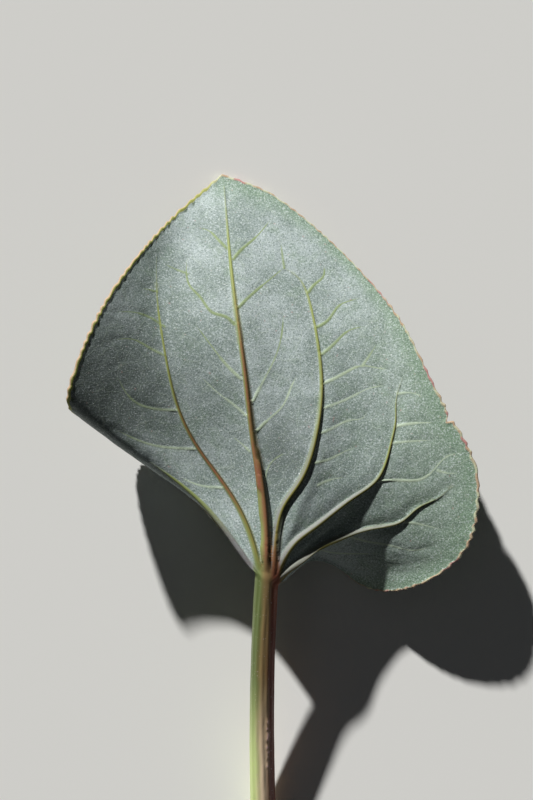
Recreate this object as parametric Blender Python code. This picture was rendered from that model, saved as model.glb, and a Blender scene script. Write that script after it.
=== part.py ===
"""A heart-shaped pond leaf on its cut stalk, lying with its pale underside up.

The blade is a loft: closed sections run from the round neck, where the stalk
forks into the veins, out to the thin margin.  Every section passes through the
same ribs, and the main veins stand proud along their own ribs.  The left basal
lobe is folded down under the blade, and the right one dips and flares out.
Dimensions are in millimetres; +Y points from the stalk to the leaf's tip.
"""

import math

import bmesh
import bpy
import numpy as np

MM = 0.001

# The stalk, a slightly bowed round rod that lies on its cut end.
STALK_NECK_RADIUS = 1.95
STALK_END_RADIUS = 2.2
STALK_END_Y = -44.0
STALK_BOW = 0.7
STALK_BOW_Y = -28.0
STALK_POINTS = 9

# The neck, where the stalk meets the blade, and the gap between the two solids.
NECK = np.array([0.1, -1.2, 12.4])
JOINT_GAP = 0.3

# The middle of the finished leaf's footprint, on the surface that it lies on.
# Everything above and below is given from the fork of the veins instead.
ORIGIN = np.array([1.5, 12.45, -0.22])

# The blade's skin and the veins on it.
BLADE_THICKNESS = 0.6
VEIN_RISE = 1.0
VEIN_HALF_WIDTH = 1.1
VEIN_TAPER = 0.7
NECK_REACH = 0.16

# How finely the loft is divided.  Sections crowd a little towards the neck, a
# vein's flanks keep clear of the next rib, and folds above the angle stay crisp.
SECTIONS = 26
SECTION_CROWDING = 1.15
STRIPS_PER_PANEL = 2
WIDE_PANEL = 0.5
RIB_STEP = 0.05
NARROWEST_RIB = 0.1
WIDEST_FLANK = 0.35
CRISP_ANGLE = math.radians(50)
MERGE_DISTANCE = 0.02

# Ribs from the hidden left sinus, over the fold and the midrib, to the right
# sinus.  Each has a point at a third and at two thirds of its length and one on
# the margin.  A rib marked True carries a raised vein.
RIBS = [
    ("left sinus", (-4.0, 3.2, 9.0), (-6.0, 5.5, 6.0), (-8.0, 8.0, 3.0), False),
    ("left lobe, inner", (-5.5, 6.0, 8.0), (-9.5, 9.5, 4.0), (-13.5, 13.5, 0.3), False),
    ("left lobe, middle", (-7.5, 8.5, 7.5), (-14.0, 14.0, 3.5), (-20.5, 19.0, 0.3), False),
    ("left lobe, outer", (-9.4, 10.4, 9.0), (-18.8, 18.2, 6.0), (-27.0, 24.0, 4.5), False),
    ("under the fold", (-10.3, 10.8, 12.0), (-21.4, 19.2, 12.2), (-31.4, 26.8, 12.5), False),
    ("fold", (-10.6, 11.9, 13.2), (-21.6, 20.6, 15.2), (-33.1, 29.2, 19.8), True),
    ("fold panel", (-10.5, 13.6, 13.0), (-22.3, 25.0, 16.2), (-31.5, 35.4, 21.4), False),
    ("left panel, outer", (-10.0, 15.8, 11.8), (-20.3, 31.3, 15.4), (-26.6, 46.6, 18.2), False),
    ("left vein", (-9.0, 18.0, 12.2), (-17.0, 37.5, 14.0), (-18.8, 58.1, 9.6), True),
    ("left panel, inner", (-5.2, 20.5, 12.5), (-10.6, 41.5, 13.1), (-12.8, 64.8, 3.0), False),
    ("midrib", (-1.5, 23.0, 13.8), (-4.2, 45.5, 11.8), (-7.7, 69.3, 0.3), True),
    ("right panel, inner", (3.2, 22.3, 13.4), (2.0, 45.0, 10.0), (-2.8, 67.6, 0.6), False),
    ("right vein", (7.9, 22.5, 13.6), (8.2, 44.0, 9.2), (2.2, 65.0, 1.2), True),
    ("right panel, upper", (10.5, 21.0, 13.0), (13.0, 40.5, 9.5), (10.2, 58.4, 3.0), False),
    ("right panel, lower", (12.4, 17.0, 12.6), (18.5, 33.0, 10.6), (18.5, 49.7, 6.0), False),
    ("side vein", (12.6, 11.6, 12.3), (20.9, 21.9, 12.2), (24.8, 40.4, 9.2), True),
    ("side panel, upper", (12.4, 9.4, 11.5), (22.6, 17.8, 12.2), (30.0, 29.6, 11.4), False),
    ("side panel, lower", (12.6, 7.6, 10.6), (23.5, 13.2, 11.8), (35.2, 19.8, 12.4), False),
    ("lobe vein", (12.5, 5.9, 10.0), (23.4, 9.2, 11.0), (36.1, 13.2, 12.6), True),
    ("right lobe, upper", (10.8, 4.4, 7.6), (21.5, 4.6, 9.2), (34.8, 6.0, 12.2), False),
    ("right lobe, lower", (8.8, 3.4, 6.4), (17.3, 1.6, 6.2), (30.7, 0.8, 10.6), False),
    ("right lobe, foot", (7.2, 2.6, 6.0), (13.4, 1.2, 3.6), (24.0, -2.8, 7.4), False),
    ("right lobe, inner", (6.0, 1.7, 7.0), (11.3, 1.6, 2.6), (17.5, -2.8, 3.2), False),
    ("right sinus", (4.8, 0.3, 8.8), (7.8, 1.8, 4.2), (11.0, 2.2, 0.3), False),
]
MIDRIB = 10


def spline(knots, values, at):
    """Natural cubic spline through values (first axis) at the knots."""
    count = len(knots)
    steps = np.diff(knots)
    flat = values.reshape(count, -1)
    matrix = np.zeros((count, count))
    matrix[0, 0] = matrix[-1, -1] = 1.0
    right = np.zeros_like(flat)
    for i in range(1, count - 1):
        matrix[i, i - 1:i + 2] = steps[i - 1], 2 * (steps[i - 1] + steps[i]), steps[i]
        slope_after = (flat[i + 1] - flat[i]) / steps[i]
        slope_before = (flat[i] - flat[i - 1]) / steps[i - 1]
        right[i] = 6 * (slope_after - slope_before)
    bend = np.linalg.solve(matrix, right)
    i = np.clip(np.searchsorted(knots, at) - 1, 0, count - 2)
    step = steps[i][:, None]
    behind = (at - knots[i])[:, None]
    ahead = step - behind
    result = (bend[i] * ahead ** 3 + bend[i + 1] * behind ** 3) / (6 * step)
    result += (flat[i] / step - bend[i] * step / 6) * ahead
    result += (flat[i + 1] / step - bend[i + 1] * step / 6) * behind
    return result.reshape((len(at),) + values.shape[1:])


def smooth(x):
    x = np.clip(x, 0.0, 1.0)
    return x * x * (3 - 2 * x)


def neck_ring(turn):
    """Points round the neck, square to the stalk's slope; turn 0 is its right side."""
    slope = math.atan2(NECK[2] - STALK_END_RADIUS, NECK[1] - STALK_END_Y)
    up = np.array([0.0, -math.sin(slope), math.cos(slope)])
    side = np.array([1.0, 0.0, 0.0])
    turn = np.asarray(turn)[..., None]
    return NECK + STALK_NECK_RADIUS * (np.cos(turn) * side + np.sin(turn) * up)


def rib_net():
    """Points of every rib at its start, a third, two thirds and the margin."""
    starts = neck_ring(np.linspace(math.pi, 0.0, len(RIBS)))
    return np.array([(start, *rib[1:4]) for start, rib in zip(starts, RIBS)])


def across(values, places):
    """Values between the ribs; the two halves of the blade meet at the midrib."""
    result = np.zeros((len(places),) + values.shape[1:])
    for first, last in ((0, MIDRIB), (MIDRIB, len(RIBS) - 1)):
        half = values[first:last + 1]
        gaps = np.linalg.norm(np.diff(half[:, 1:4], axis=0), axis=2).mean(axis=1)
        knots = np.concatenate([[0.0], np.cumsum(np.sqrt(gaps))])
        inside = (places >= first) & (places <= last)
        at = np.interp(places[inside], np.arange(first, last + 1), knots)
        result[inside] = spline(knots, half, at)
    return result


def along(ribs, reach):
    """Points at the given reaches (0 neck, 1 margin) of ribs (rib, 4, xyz)."""
    knots = np.array([0.0, 1.0, 2.0, 3.0]) / 3
    return spline(knots, ribs.transpose(1, 0, 2), reach)


def strip_places(reach):
    """Rib numbers of the strips' edges: panels between veins of tapering width."""
    net = rib_net()
    places = np.zeros((len(reach), 0))
    last = len(RIBS) - 1
    edges = []
    for i in range(last + 1):
        if RIBS[i][4]:
            near = np.array([i - RIB_STEP, i + RIB_STEP])
            points = along(across(net, near), reach)
            per_rib = np.linalg.norm(points[:, 1] - points[:, 0], axis=1) / (2 * RIB_STEP)
            half_width = VEIN_HALF_WIDTH * (1 - VEIN_TAPER * reach)
            flank = half_width / np.maximum(per_rib, NARROWEST_RIB)
            flank = np.minimum(flank, WIDEST_FLANK)
            edges += [i - flank, i + 0 * flank, i + flank]
        else:
            edges.append(i + 0 * reach)
    for low, high in zip(edges[:-1], edges[1:]):
        strips = STRIPS_PER_PANEL if (high - low).max() > WIDE_PANEL else 1
        for k in range(strips):
            places = np.column_stack([places, low + (high - low) * k / strips])
    return np.column_stack([places, edges[-1]])


def blade_skins():
    """Underside and upper-side points, (section, strip edge, xyz)."""
    reach = np.linspace(0.0, 1.0, SECTIONS) ** SECTION_CROWDING
    places = strip_places(reach)
    net = rib_net()
    skin = np.zeros(places.shape + (3,))
    for row in range(SECTIONS):
        skin[row] = along(across(net, places[row]), reach[row:row + 1])[0]
    outward = np.gradient(skin, axis=0)
    sideways = np.gradient(skin, axis=1)
    normal = np.cross(sideways, outward)
    normal /= np.maximum(np.linalg.norm(normal, axis=2), 1e-9)[..., None]

    crests = [i for i, rib in enumerate(RIBS) if rib[4]]
    rise = np.isin(places.round(6), crests) * VEIN_RISE
    rise = rise * (1 - VEIN_TAPER * reach[:, None]) * smooth(reach / NECK_REACH)[:, None]
    underside = skin + normal * rise[..., None]

    # The upper side starts on the lower half of the neck and joins the skin.
    ring = neck_ring(math.pi * (places / (len(RIBS) - 1) - 1))
    thin = smooth(reach / NECK_REACH)[:, None, None]
    upper = skin - normal * BLADE_THICKNESS
    upper = ring * (1 - thin) + upper * thin
    return underside, upper


# Building

def placed(point):
    """A point in metres from the middle of the leaf's footprint."""
    return (point - ORIGIN) * MM


def section_loop(underside, upper):
    """One closed section: across the underside and back across the upper side."""
    return np.concatenate([underside, upper[::-1]])


def loft(name, sections):
    """A closed mesh through equal closed sections, both ends filled with strips."""
    mesh = bmesh.new()
    rings = [[mesh.verts.new(placed(point)) for point in ring] for ring in sections]
    count = len(rings[0])
    for inner, outer in zip(rings[:-1], rings[1:]):
        for i in range(count):
            k = (i + 1) % count
            mesh.faces.new((inner[i], inner[k], outer[k], outer[i]))
    for ring in (rings[0], rings[-1]):
        for i in range(count // 2 - 1):
            corners = (ring[i], ring[i + 1], ring[count - 2 - i], ring[count - 1 - i])
            mesh.faces.new(corners)
    bmesh.ops.remove_doubles(mesh, verts=mesh.verts, dist=MERGE_DISTANCE * MM)
    bmesh.ops.recalc_face_normals(mesh, faces=mesh.faces)
    data = bpy.data.meshes.new(name)
    mesh.to_mesh(data)
    mesh.free()
    data.shade_smooth()
    data.set_sharp_from_angle(angle=CRISP_ANGLE)
    return bpy.data.objects.new(name, data)


def stalk_centre(y):
    """Centre of the stalk at y: straight down to the floor, bowed to the left."""
    share = (NECK[1] - y) / (NECK[1] - STALK_END_Y)
    bow = 1 - ((y - STALK_BOW_Y) / (NECK[1] - STALK_BOW_Y)) ** 2
    height = NECK[2] + (STALK_END_RADIUS - NECK[2]) * share
    return np.array([NECK[0] - (STALK_BOW + NECK[0]) * bow, y, height])


def stalk_rod(name):
    """The stalk, a curve with a round bevel that widens towards the cut."""
    curve = bpy.data.curves.new(name, "CURVE")
    curve.dimensions = "3D"
    curve.bevel_depth = MM
    curve.bevel_resolution = 6
    curve.use_fill_caps = True
    curve.resolution_u = 3
    line = curve.splines.new("POLY")
    line.points.add(STALK_POINTS - 1)
    for i, y in enumerate(np.linspace(NECK[1] - JOINT_GAP, STALK_END_Y, STALK_POINTS)):
        share = i / (STALK_POINTS - 1)
        line.points[i].co = (*placed(stalk_centre(y)), 1.0)
        line.points[i].radius = STALK_NECK_RADIUS * (1 - share) + STALK_END_RADIUS * share
    return bpy.data.objects.new(name, curve)


def material(name, colour, roughness):
    made = bpy.data.materials.new(name)
    made.use_nodes = True
    shader = made.node_tree.nodes["Principled BSDF"]
    shader.inputs["Base Color"].default_value = (*colour, 1.0)
    shader.inputs["Roughness"].default_value = roughness
    shader.inputs["Metallic"].default_value = 0.0
    return made


def main():
    for item in list(bpy.data.objects):
        bpy.data.objects.remove(item, do_unlink=True)
    leaf = bpy.data.collections.new("pond_leaf")
    bpy.context.scene.collection.children.link(leaf)

    underside, upper = blade_skins()
    sections = [section_loop(low, high) for low, high in zip(underside, upper)]
    blade = loft("leaf_blade", sections)
    blade.data.materials.append(material("blade_grey_green", (0.32, 0.38, 0.34), 0.55))
    leaf.objects.link(blade)

    stalk = stalk_rod("leaf_stalk")
    stalk.data.materials.append(material("stalk_green_brown", (0.22, 0.20, 0.10), 0.4))
    leaf.objects.link(stalk)


main()
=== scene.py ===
# A heart-shaped pond leaf on its cut stalk, lying with its pale underside up
import math

import bpy
import numpy as np
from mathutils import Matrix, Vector, noise
from mathutils.geometry import delaunay_2d_cdt
from mathutils.kdtree import KDTree


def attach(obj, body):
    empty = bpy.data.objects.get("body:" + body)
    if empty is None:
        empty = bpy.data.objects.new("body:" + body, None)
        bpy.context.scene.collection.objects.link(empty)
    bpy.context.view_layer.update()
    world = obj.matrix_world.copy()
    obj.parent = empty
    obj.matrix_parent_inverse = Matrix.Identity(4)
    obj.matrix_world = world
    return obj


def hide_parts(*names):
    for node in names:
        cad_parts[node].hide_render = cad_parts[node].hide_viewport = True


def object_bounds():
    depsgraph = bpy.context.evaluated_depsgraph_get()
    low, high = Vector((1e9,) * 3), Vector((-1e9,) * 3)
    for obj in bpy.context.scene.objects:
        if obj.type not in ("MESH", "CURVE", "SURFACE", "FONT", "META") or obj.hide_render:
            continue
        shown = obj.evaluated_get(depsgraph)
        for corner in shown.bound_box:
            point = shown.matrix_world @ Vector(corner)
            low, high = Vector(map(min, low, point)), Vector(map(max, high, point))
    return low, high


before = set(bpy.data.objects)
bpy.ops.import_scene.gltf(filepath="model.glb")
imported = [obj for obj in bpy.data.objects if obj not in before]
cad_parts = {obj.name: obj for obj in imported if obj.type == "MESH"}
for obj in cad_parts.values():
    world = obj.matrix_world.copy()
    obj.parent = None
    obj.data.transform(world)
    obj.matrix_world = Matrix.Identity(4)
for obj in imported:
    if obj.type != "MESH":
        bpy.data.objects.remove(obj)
cadLow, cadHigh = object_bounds()

# Lengths are in millimetres from the fork of the veins until a mesh is made
mm = 0.001
origin = np.array([1.5, 12.45, -0.22])        # the model's own origin, seen from the fork


def placed(points):
    return (np.asarray(points, float) - origin) * mm


# Camera and light

view = {
    "aim": (0.1, 29.75, 12.0),
    "height": 378.0,               # above the aim
    "lens": 100.0,
    "sensor": 36.0,
    "clip": (10.0, 10000.0),
}


def addCamera():
    # straight above the leaf, looking down
    x, y, z = placed(view["aim"])
    bpy.ops.object.camera_add(location=(x, y, z + view["height"] * mm))
    camera = bpy.context.object
    camera.name = "overheadCamera"
    camera.data.lens = view["lens"]
    camera.data.sensor_width = view["sensor"]
    camera.data.clip_start, camera.data.clip_end = (length * mm for length in view["clip"])
    bpy.context.scene.camera = camera


lamps = {
    "aim": (0.0, 28.0, 10.0),
    "distance": 600.0,
    "keyFrom": (-0.42, 0.91),      # the side that the key light comes from
    "keyRise": 25.0,
    "keySoftness": 2.4,            # degrees across
    "keyStrength": 5.4,
    "keyColour": (1.0, 0.99, 0.97),
    "fillFrom": (-0.55, -0.75, 0.8),
    "fillSize": 300.0,
    "fillPower": 0.03,
    "fillColour": (0.95, 0.97, 1.0),
    "room": (0.93, 0.96, 1.0),
    "roomStrength": 0.03,
    "backdropStrength": 0.72,      # the room as it is seen past the floor's edge
}


def addLamp(kind, name, direction, colour):
    aim = Vector(placed(lamps["aim"]))
    way = Vector(direction).normalized()
    bpy.ops.object.light_add(type=kind, location=aim + way * lamps["distance"] * mm)
    lamp = bpy.context.object
    lamp.name = name
    lamp.data.color = colour
    lamp.rotation_euler = (-way).to_track_quat("-Z", "Y").to_euler()
    return lamp.data


def addLights():
    rise = math.radians(lamps["keyRise"])
    side = Vector(lamps["keyFrom"]).normalized()
    fromKey = (side.x * math.cos(rise), side.y * math.cos(rise), math.sin(rise))
    key = addLamp("SUN", "keyLamp", fromKey, lamps["keyColour"])
    key.energy = lamps["keyStrength"]
    key.angle = math.radians(lamps["keySoftness"])
    fill = addLamp("AREA", "fillLamp", lamps["fillFrom"], lamps["fillColour"])
    fill.shape = "DISK"
    fill.size = lamps["fillSize"] * mm
    fill.energy = lamps["fillPower"]
    bpy.context.scene.world = studioRoom()
    bpy.context.scene.view_settings.view_transform = "Standard"


def studioRoom():
    # dim where it lights the leaf, pale where it is seen
    room = bpy.data.worlds.new("studio")
    room.use_nodes = True
    tree = room.node_tree
    background = tree.nodes["Background"]
    background.inputs["Color"].default_value = (*lamps["room"], 1.0)
    seen = tree.nodes.new("ShaderNodeLightPath")
    strength = tree.nodes.new("ShaderNodeMapRange")
    strength.inputs["To Min"].default_value = lamps["roomStrength"]
    strength.inputs["To Max"].default_value = lamps["backdropStrength"]
    tree.links.new(seen.outputs["Is Camera Ray"], strength.inputs["Value"])
    tree.links.new(strength.outputs["Result"], background.inputs["Strength"])
    return room


# The leaf's form: ribs from the neck to the margin, as in the construction

form = {
    "neck": (0.1, -1.2, 12.4),
    "neckRadius": 1.95,
    "neckSlope": 13.2,             # degrees
    "neckSlant": 0.6,              # the stalk runs further up on the left
    "neckFillet": 2.4,
    "neckReach": 0.16,             # share of the blade that eases round the stalk's lower half
    "grooves": [(60.0, 9.0, 0.2), (128.0, 10.0, 0.1)],     # turn, width in degrees, depth
    "thickness": 0.42,
    "midrib": 10,                  # the number of its rib
    "fold": 5,
    # each rib a third of the way along, two thirds of the way, and at the margin
    "ribs": [
        ((-4.0, 3.2, 9.0), (-6.0, 5.5, 6.0), (-8.0, 8.0, 3.0)),            # left sinus
        ((-5.5, 6.0, 8.0), (-9.5, 9.5, 4.0), (-13.5, 13.5, 0.3)),
        ((-7.5, 8.5, 7.5), (-14.0, 14.0, 3.5), (-20.5, 19.0, 0.3)),
        ((-9.4, 10.4, 9.0), (-18.8, 18.2, 6.0), (-27.0, 24.0, 4.5)),
        ((-10.3, 10.8, 12.0), (-21.4, 19.2, 12.2), (-31.4, 26.8, 12.5)),
        ((-10.6, 11.9, 13.2), (-21.6, 20.6, 15.2), (-33.1, 29.2, 19.8)),   # fold
        ((-10.5, 13.6, 13.0), (-22.3, 25.0, 16.2), (-31.5, 35.4, 21.4)),
        ((-10.0, 15.8, 11.8), (-20.3, 31.3, 15.4), (-26.6, 46.6, 18.2)),
        ((-9.0, 18.0, 12.2), (-17.0, 37.5, 14.0), (-18.8, 58.1, 9.6)),     # left vein
        ((-5.2, 20.5, 12.5), (-10.6, 41.5, 13.1), (-12.8, 64.8, 3.0)),
        ((-1.5, 23.0, 13.8), (-4.2, 45.5, 11.8), (-7.7, 69.3, 0.3)),       # midrib
        ((3.2, 22.3, 13.4), (2.0, 45.0, 10.0), (-2.8, 67.6, 0.6)),
        ((7.9, 22.5, 13.6), (8.2, 44.0, 9.2), (2.2, 65.0, 1.2)),          # right vein
        ((10.5, 21.0, 13.0), (13.0, 40.5, 9.5), (10.2, 58.4, 3.0)),
        ((12.4, 17.0, 12.6), (18.5, 33.0, 10.6), (18.5, 49.7, 6.0)),
        ((12.6, 11.6, 12.3), (20.9, 21.9, 12.2), (24.8, 40.4, 9.2)),       # side vein
        ((12.4, 9.4, 11.5), (22.6, 17.8, 12.2), (30.0, 29.6, 11.4)),
        ((12.6, 7.6, 10.6), (23.5, 13.2, 11.8), (35.2, 19.8, 12.4)),
        ((12.5, 5.9, 10.0), (23.4, 9.2, 11.0), (36.1, 13.2, 12.6)),          # lobe vein
        ((10.8, 4.4, 7.6), (21.5, 4.6, 9.2), (34.8, 6.0, 12.2)),
        ((8.8, 3.4, 6.4), (17.3, 1.6, 6.2), (30.7, 0.8, 10.6)),
        ((7.2, 2.6, 6.0), (13.4, 1.2, 3.6), (24.0, -2.8, 7.4)),
        ((6.0, 1.7, 7.0), (11.3, 1.6, 2.6), (17.5, -2.8, 3.2)),
        ((4.8, 0.3, 8.8), (7.8, 1.8, 4.2), (11.0, 2.2, 0.3)),              # right sinus
    ],
}
lastRib = len(form["ribs"]) - 1


def smooth(x):
    x = np.clip(x, 0.0, 1.0)
    return x * x * (3 - 2 * x)


def spline(knots, values, at):
    # natural cubic through values, whose first axis goes along the knots
    count = len(knots)
    steps = np.diff(knots)
    flat = np.asarray(values, float).reshape(count, -1)
    matrix = np.zeros((count, count))
    matrix[0, 0] = matrix[-1, -1] = 1.0
    right = np.zeros_like(flat)
    for i in range(1, count - 1):
        matrix[i, i - 1:i + 2] = steps[i - 1], 2 * (steps[i - 1] + steps[i]), steps[i]
        right[i] = 6 * ((flat[i + 1] - flat[i]) / steps[i] - (flat[i] - flat[i - 1]) / steps[i - 1])
    bend = np.linalg.solve(matrix, right)
    i = np.clip(np.searchsorted(knots, at) - 1, 0, count - 2)
    step = steps[i][:, None]
    behind = (at - knots[i])[:, None]
    ahead = step - behind
    result = (bend[i] * ahead ** 3 + bend[i + 1] * behind ** 3) / (6 * step)
    result += (flat[i] / step - bend[i] * step / 6) * ahead
    result += (flat[i + 1] / step - bend[i + 1] * step / 6) * behind
    return result.reshape((len(at),) + np.shape(values)[1:])


def stalkWays():
    # unit steps to the stalk's right, upwards and from its neck to its cut end
    slope = math.radians(form["neckSlope"])
    side = np.array([1.0, 0.0, 0.0])
    up = np.array([0.0, -math.sin(slope), math.cos(slope)])
    down = np.array([0.0, -math.cos(slope), -math.sin(slope)])
    return side, up, down


def neckRing(turn):
    side, up, down = stalkWays()
    turn = np.asarray(turn)[..., None]
    slanted = side + form["neckSlant"] * down
    return form["neck"] + form["neckRadius"] * (np.cos(turn) * slanted + np.sin(turn) * up)


def strandRelief(turn):
    # grooves between the strands where the veins run together into the stalk; turn is in degrees
    return -sum(depth * np.exp(-((turn - at) / width) ** 2) for at, width, depth in form["grooves"])


ribNet = np.array([(start, *rib) for start, rib in
                   zip(neckRing(np.linspace(math.pi, 0.0, lastRib + 1)), form["ribs"])])
ribSteps = np.arange(4) / 3


def ribsAt(places):
    # rib points for places counted in ribs; the halves meet at the midrib
    result = np.zeros((len(places), 4, 3))
    for first, last in ((0, form["midrib"]), (form["midrib"], lastRib)):
        half = ribNet[first:last + 1]
        gaps = np.linalg.norm(np.diff(half[:, 1:], axis=0), axis=2).mean(axis=1)
        knots = np.concatenate([[0.0], np.cumsum(np.sqrt(gaps))])
        inside = (places >= first) & (places <= last)
        at = np.interp(places[inside], np.arange(first, last + 1), knots)
        result[inside] = spline(knots, half, at)
    return result


def skinAt(places, reaches):
    # points of the bare skin at (place, reach); reach is 0 at the neck, 1 at the margin
    weights = spline(ribSteps, np.eye(4), reaches)
    ribs = ribsAt(places)
    points = np.einsum("nk,nkd->nd", weights, ribs)
    fromNeck = np.linalg.norm(points - ribs[:, 0], axis=1)[:, None]
    straight = ribs[:, 0] - fromNeck * stalkWays()[2]
    blend = smooth(fromNeck / form["neckFillet"])
    return straight * (1 - blend) + points * blend


def skinNormals(places, reaches):
    small = 0.01
    low = np.clip(places - small, 0, lastRib)
    high = np.clip(places + small, 0, lastRib)
    sideways = skinAt(high, reaches) - skinAt(low, reaches)
    outward = skinAt(places, reaches + small) - skinAt(places, reaches - small)
    normals = np.cross(sideways, outward)
    return normals / np.maximum(np.linalg.norm(normals, axis=1), 1e-12)[:, None]


# The leaf pressed flat: each place is a direction and each reach a distance,
# so that the mesh can be laid out evenly before it takes its form

innerRadius = form["neckRadius"] / 2
tablePlaces = np.linspace(0, lastRib, 24 * lastRib + 1)
tableReaches = np.linspace(0, 1, 25)


def pressedTables():
    # how long the leaf is at each place, and which way that place points
    rows = np.array([skinAt(tablePlaces, np.full(len(tablePlaces), reach)) for reach in tableReaches])
    lengths = np.linalg.norm(np.diff(rows, axis=0), axis=2).sum(axis=0)
    turns = np.zeros(len(tablePlaces))
    for row, share in ((12, 0.5), (18, 0.75), (24, 1.0)):
        gaps = np.linalg.norm(np.diff(rows[row], axis=0), axis=1)
        radius = innerRadius + share * (lengths[1:] + lengths[:-1]) / 2
        turns[1:] += np.cumsum(gaps / radius) / 3
    return lengths, turns - turns[-1] / 2


tableLengths, tableTurns = pressedTables()


def lengthAt(places):
    return np.interp(places, tablePlaces, tableLengths)


def pressed(places, reaches):
    turns = np.interp(places, tablePlaces, tableTurns)
    radius = innerRadius + reaches * lengthAt(places)
    return np.stack([radius * np.cos(turns), radius * np.sin(turns)], axis=-1)


def unpressed(points):
    turns = np.arctan2(points[:, 1], points[:, 0])
    places = np.interp(turns, tableTurns, tablePlaces)
    reaches = (np.hypot(points[:, 0], points[:, 1]) - innerRadius) / lengthAt(places)
    return places, reaches


# Where a point seen from above lies on the open part of the blade

openPart = {
    "places": (form["fold"] - 0.1, lastRib - 0.6),
    "reaches": (0.02, 1.03),
    "samples": (380, 150),         # of places and of reaches
}


def seenFromAbove():
    places = np.linspace(*openPart["places"], openPart["samples"][0])
    reaches = np.linspace(*openPart["reaches"], openPart["samples"][1])
    gridPlaces, gridReaches = (grid.ravel() for grid in np.meshgrid(places, reaches))
    points = skinAt(gridPlaces, gridReaches)
    tree = KDTree(len(points))
    for i, point in enumerate(points):
        tree.insert((point[0], point[1], 0.0), i)
    tree.balance()
    return tree, gridPlaces, gridReaches


aboveTree, abovePlaces, aboveReaches = seenFromAbove()


def onBlade(route):
    # (place, reach) of points given from above: the nearest sample, then two short steps from it
    nearest = [aboveTree.find((x, y, 0.0))[1] for x, y in route]
    places, reaches = abovePlaces[nearest].copy(), aboveReaches[nearest].copy()
    small = 1e-3
    longestPlace, longestReach = 0.1, 0.02
    for _ in range(2):
        here = skinAt(places, reaches)[:, :2]
        byPlace = (skinAt(places + small, reaches)[:, :2] - here) / small
        byReach = (skinAt(places, reaches + small)[:, :2] - here) / small
        miss = np.asarray(route) - here
        area = byPlace[:, 0] * byReach[:, 1] - byPlace[:, 1] * byReach[:, 0]
        area = np.where(np.abs(area) < 1e-3, np.inf, area)
        stepPlace = (miss[:, 0] * byReach[:, 1] - miss[:, 1] * byReach[:, 0]) / area
        stepReach = (byPlace[:, 0] * miss[:, 1] - byPlace[:, 1] * miss[:, 0]) / area
        places += np.clip(stepPlace, -longestPlace, longestPlace)
        reaches += np.clip(stepReach, -longestReach, longestReach)
        places = np.clip(places, form["fold"] - 0.2, lastRib - 0.2)
    return places, reaches


# Veins: the route of each from above, and its half width and rise at its start and end.
# Red is an amount and how far up the leaf it sets in, begins to fade and has gone;
# pale is an amount and where it begins to fade and has gone

mainVeins = {
    "midrib": {
        "route": [(0.2, -0.8), (0.1, 4.0), (-0.5, 13.3), (-2.0, 22.8), (-3.4, 33.3), (-4.9, 43.9),
                  (-6.1, 53.5), (-6.8, 61.0), (-7.3, 67.0)],
        "halfWidth": (0.94, 0.13), "rise": (1.95, 0.1),
        "red": (1.0, -20.0, 36.0, 54.0), "pale": (0.0, 0.0, 1.0),
    },
    "right": {
        "route": [(1.0, -1.0), (1.6, 5.3), (3.1, 11.9), (5.4, 15.3), (8.3, 22.8), (9.5, 31.5),
                  (8.8, 40.0), (7.4, 47.0), (5.6, 50.9), (3.1, 52.6)],
        "halfWidth": (0.82, 0.09), "rise": (1.25, 0.06),
        "red": (0.8, -20.0, 2.0, 10.0), "pale": (0.9, 12.0, 34.0),
    },
    "side": {
        "route": [(1.5, -1.2), (4.6, 5.3), (8.0, 8.0), (15.1, 13.3), (18.8, 16.1), (21.4, 22.8),
                  (22.1, 26.2), (22.2, 29.6), (23.3, 33.4)],
        "halfWidth": (0.78, 0.06), "rise": (1.05, 0.03),
        "red": (0.3, -20.0, 0.0, 6.0), "pale": (0.9, 13.0, 20.0),
    },
    "lobe": {
        "route": [(1.8, -1.4), (5.4, 2.4), (10.4, 5.3), (18.9, 8.0), (23.1, 9.0), (26.0, 11.4),
                  (29.0, 12.9), (31.5, 15.0)],
        "halfWidth": (0.76, 0.06), "rise": (1.75, 0.03),
        "red": (0.3, -20.0, 0.0, 6.0), "pale": (0.8, 8.0, 16.0),
    },
    "left": {
        "route": [(-0.8, 0.0), (-2.0, 4.8), (-4.4, 10.9), (-8.8, 17.7), (-12.6, 23.3), (-15.5, 30.4),
                  (-17.2, 38.5), (-18.4, 46.8), (-18.6, 54.0)],
        "halfWidth": (0.6, 0.06), "rise": (0.5, 0.02),
        "red": (1.0, 8.0, 22.0, 32.0), "pale": (0.1, 8.0, 30.0),
    },
}

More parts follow.
